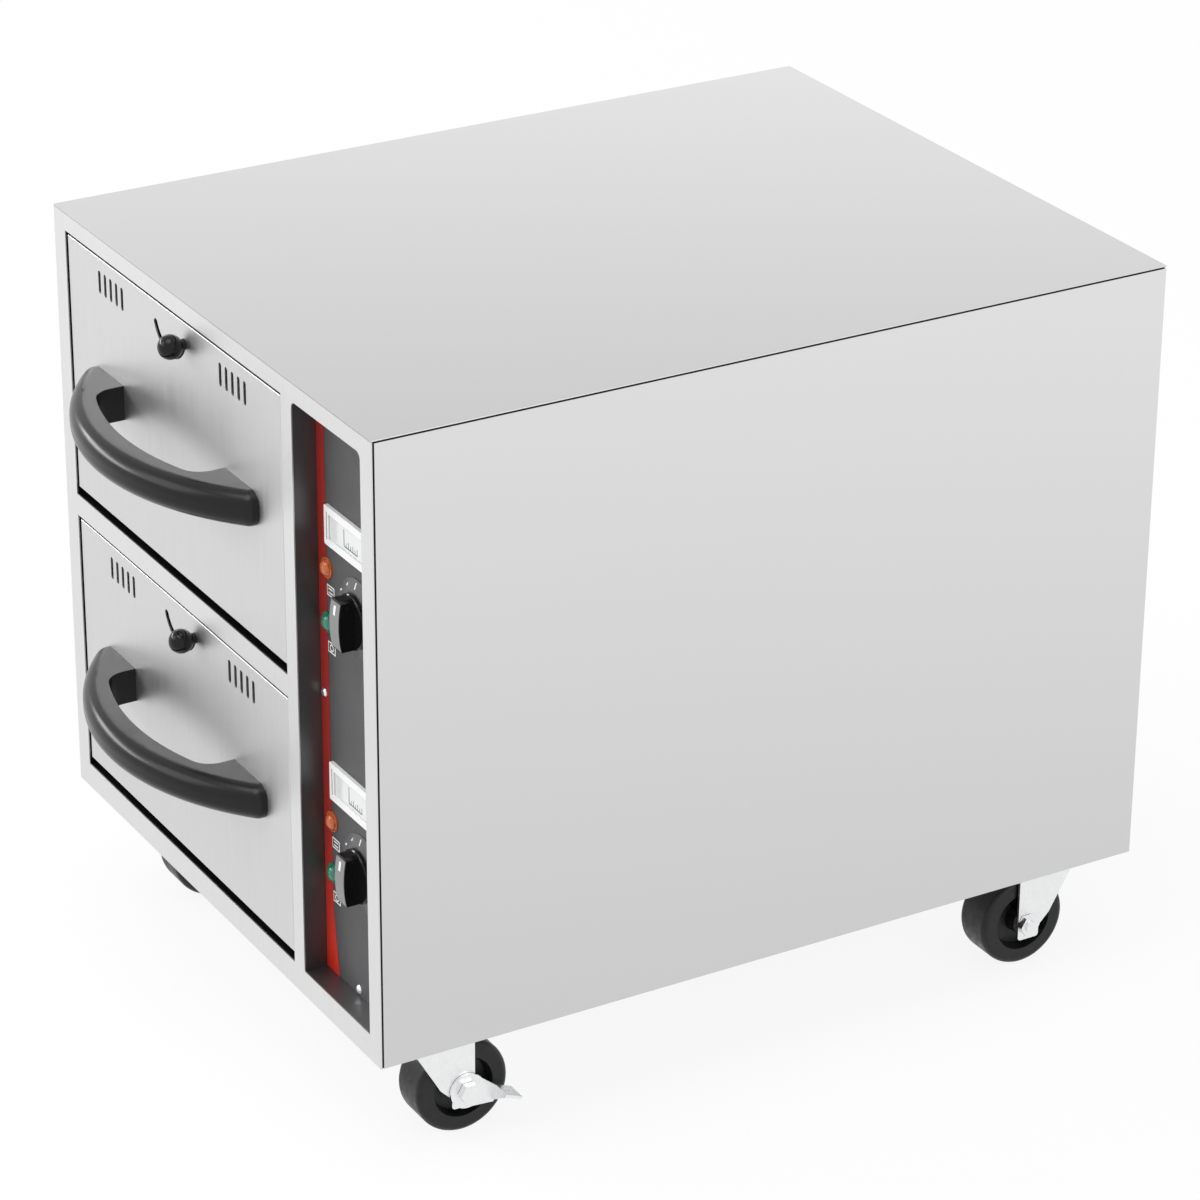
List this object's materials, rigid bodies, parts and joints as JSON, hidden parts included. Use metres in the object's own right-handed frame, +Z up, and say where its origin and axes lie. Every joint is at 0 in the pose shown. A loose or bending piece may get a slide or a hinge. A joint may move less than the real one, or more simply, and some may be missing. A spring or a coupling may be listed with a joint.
{
  "type": "warming drawer cabinet",
  "caption": "Free-standing stainless warming cabinet on swivel casters, with stacked drawers, bow handles, adjustable vents and a recessed control column.",
  "frame": {"origin": "on the floor under the middle of the whole object at rest, bottom centre of its bounding box", "axes": "+X to the right seen from the front, +Y from the drawer fronts to the back, +Z up; the drawers open towards -Y"},
  "size_m": [0.55, 0.787, 0.624],
  "materials": {
    "brushed_front": "fine upright brushing, satin",
    "smooth_stainless": "smooth satin stainless with a very fine grain",
    "galvanised_sheet": "plain zinc-coated sheet",
    "cavity_stainless": "mill finish stainless",
    "insulation_wool": "pale mineral wool",
    "heater_sheath": "dull heat-darkened alloy sheath",
    "panel_grey": "matte dark grey",
    "trim_red": "satin orange red",
    "bright_screws": "bright zinc",
    "white_bezel": "white moulded plastic",
    "clear_window": "clear pane",
    "amber_lens": "translucent amber moulding",
    "green_lens": "translucent green moulding",
    "switch_body": "moulded switch case",
    "black_plastic": "satin black moulding",
    "gloss_black": "polished black moulding",
    "slide_steel": "plain zinc-plated steel",
    "pan_stainless": "satin drawn stainless",
    "bright_zinc": "bright zinc-plated pressed steel",
    "wheel_black": "satin black, slightly dusty tread"
  },
  "bodies": {
    "cabinet": {"amber_lamps": "amber_lens", "back_panel": "galvanised_sheet", "base_channels": "galvanised_sheet", "base_panel": "galvanised_sheet", "caster_bolts": "bright_screws", "caster_plates": "bright_zinc", "cavity_liner": "cavity_stainless", "control_panel": "panel_grey", "cord_gland": "gloss_black", "dial_rings": "panel_grey", "divider_shelf": "cavity_stainless", "front_frame": "brushed_front", "green_lamps": "green_lens", "heaters": "heater_sheath", "insulation": "insulation_wool", "left_side_panel": "smooth_stainless", "panel_screws": "bright_screws", "right_side_panel": "smooth_stainless", "slide_outer_rails": "slide_steel", "thermometer_windows": "clear_window", "thermometers": "white_bezel", "thermostats": "switch_body", "top_panel": "smooth_stainless", "trim_stripe": "trim_red"},
    "upper_drawer": {"upper_drawer_front": "brushed_front", "upper_inner_panel": "cavity_stainless", "upper_handle": "black_plastic", "upper_carrier": "cavity_stainless", "upper_food_pan": "pan_stainless", "upper_slide_inner_rails": "slide_steel"},
    "upper_slide_middles": {"upper_slide_middle_rails": "slide_steel"},
    "upper_vent_lever": {"upper_vent_lever": "cavity_stainless", "upper_vent_ball": "gloss_black"},
    "upper_vent_shutter": {"upper_vent_shutter": "cavity_stainless"},
    "upper_knob": {"upper_knob": "gloss_black"},
    "lower_drawer": {"lower_drawer_front": "brushed_front", "lower_inner_panel": "cavity_stainless", "lower_handle": "black_plastic", "lower_carrier": "cavity_stainless", "lower_food_pan": "pan_stainless", "lower_slide_inner_rails": "slide_steel"},
    "lower_slide_middles": {"lower_slide_middle_rails": "slide_steel"},
    "lower_vent_lever": {"lower_vent_lever": "cavity_stainless", "lower_vent_ball": "gloss_black"},
    "lower_vent_shutter": {"lower_vent_shutter": "cavity_stainless"},
    "lower_knob": {"lower_knob": "gloss_black"},
    "front_left_swivel": {"front_left_fork": "bright_zinc", "front_left_axle": "bright_zinc"},
    "front_left_wheel": {"front_left_wheel": "wheel_black"},
    "front_left_brake": {"front_left_brake": "bright_zinc"},
    "front_right_swivel": {"front_right_fork": "bright_zinc", "front_right_axle": "bright_zinc"},
    "front_right_wheel": {"front_right_wheel": "wheel_black"},
    "front_right_brake": {"front_right_brake": "bright_zinc"},
    "rear_left_swivel": {"rear_left_fork": "bright_zinc", "rear_left_axle": "bright_zinc"},
    "rear_left_wheel": {"rear_left_wheel": "wheel_black"},
    "rear_right_swivel": {"rear_right_fork": "bright_zinc", "rear_right_axle": "bright_zinc"},
    "rear_right_wheel": {"rear_right_wheel": "wheel_black"}
  },
  "joints": [
    {"name": "upper_drawer_slide", "type": "slide", "parent": "cabinet", "child": "upper_drawer", "axis": [0, -1, 0], "range_m": [0, 0.48]},
    {"name": "upper_middle_slide", "type": "slide", "parent": "cabinet", "child": "upper_slide_middles", "axis": [0, -1, 0], "range_m": [0, 0.24]},
    {"name": "upper_vent_turn", "type": "hinge", "parent": "upper_drawer", "child": "upper_vent_lever", "pos_m": [-0.0615, -0.324, 0.5985], "axis": [0, 1, 0], "range_deg": [0, 132]},
    {"name": "upper_shutter_slide", "type": "slide", "parent": "upper_drawer", "child": "upper_vent_shutter", "axis": [-1, 0, 0], "range_m": [0, 0.01575]},
    {"name": "upper_knob_turn", "type": "hinge", "parent": "cabinet", "child": "upper_knob", "pos_m": [0.2125, -0.3065, 0.452], "axis": [0, 1, 0], "range_deg": [0, 270]},
    {"name": "lower_drawer_slide", "type": "slide", "parent": "cabinet", "child": "lower_drawer", "axis": [0, -1, 0], "range_m": [0, 0.48]},
    {"name": "lower_middle_slide", "type": "slide", "parent": "cabinet", "child": "lower_slide_middles", "axis": [0, -1, 0], "range_m": [0, 0.24]},
    {"name": "lower_vent_turn", "type": "hinge", "parent": "lower_drawer", "child": "lower_vent_lever", "pos_m": [-0.0615, -0.324, 0.348], "axis": [0, 1, 0], "range_deg": [0, 132]},
    {"name": "lower_shutter_slide", "type": "slide", "parent": "lower_drawer", "child": "lower_vent_shutter", "axis": [-1, 0, 0], "range_m": [0, 0.01575]},
    {"name": "lower_knob_turn", "type": "hinge", "parent": "cabinet", "child": "lower_knob", "pos_m": [0.2125, -0.3065, 0.2375], "axis": [0, 1, 0], "range_deg": [0, 270]},
    {"name": "front_left_swivel_turn", "type": "hinge", "parent": "cabinet", "child": "front_left_swivel", "pos_m": [-0.218, -0.2645, 0.0905], "axis": [0, 0, 1], "continuous": true},
    {"name": "front_left_wheel_spin", "type": "hinge", "parent": "front_left_swivel", "child": "front_left_wheel", "pos_m": [-0.218, -0.2345, 0.04], "axis": [1, 0, 0], "continuous": true},
    {"name": "front_left_brake_press", "type": "hinge", "parent": "front_left_swivel", "child": "front_left_brake", "pos_m": [-0.218, -0.2345, 0.04], "axis": [-1, 0, 0], "range_deg": [0, 20]},
    {"name": "front_right_swivel_turn", "type": "hinge", "parent": "cabinet", "child": "front_right_swivel", "pos_m": [0.218, -0.2645, 0.0905], "axis": [0, 0, 1], "continuous": true},
    {"name": "front_right_wheel_spin", "type": "hinge", "parent": "front_right_swivel", "child": "front_right_wheel", "pos_m": [0.218, -0.2345, 0.04], "axis": [1, 0, 0], "continuous": true},
    {"name": "front_right_brake_press", "type": "hinge", "parent": "front_right_swivel", "child": "front_right_brake", "pos_m": [0.218, -0.2345, 0.04], "axis": [-1, 0, 0], "range_deg": [0, 20]},
    {"name": "rear_left_swivel_turn", "type": "hinge", "parent": "cabinet", "child": "rear_left_swivel", "pos_m": [-0.218, 0.3275, 0.0905], "axis": [0, 0, 1], "continuous": true},
    {"name": "rear_left_wheel_spin", "type": "hinge", "parent": "rear_left_swivel", "child": "rear_left_wheel", "pos_m": [-0.218, 0.2975, 0.04], "axis": [1, 0, 0], "continuous": true},
    {"name": "rear_right_swivel_turn", "type": "hinge", "parent": "cabinet", "child": "rear_right_swivel", "pos_m": [0.218, 0.3275, 0.0905], "axis": [0, 0, 1], "continuous": true},
    {"name": "rear_right_wheel_spin", "type": "hinge", "parent": "rear_right_swivel", "child": "rear_right_wheel", "pos_m": [0.218, 0.2975, 0.04], "axis": [1, 0, 0], "continuous": true}
  ],
  "couplings": [
    {"joint": "upper_middle_slide", "follows": "upper_drawer_slide", "ratio": 0.5},
    {"joint": "upper_vent_turn", "follows": "upper_shutter_slide", "rad_per_m": 146.28},
    {"joint": "lower_middle_slide", "follows": "lower_drawer_slide", "ratio": 0.5},
    {"joint": "lower_vent_turn", "follows": "lower_shutter_slide", "rad_per_m": 146.28}
  ]
}
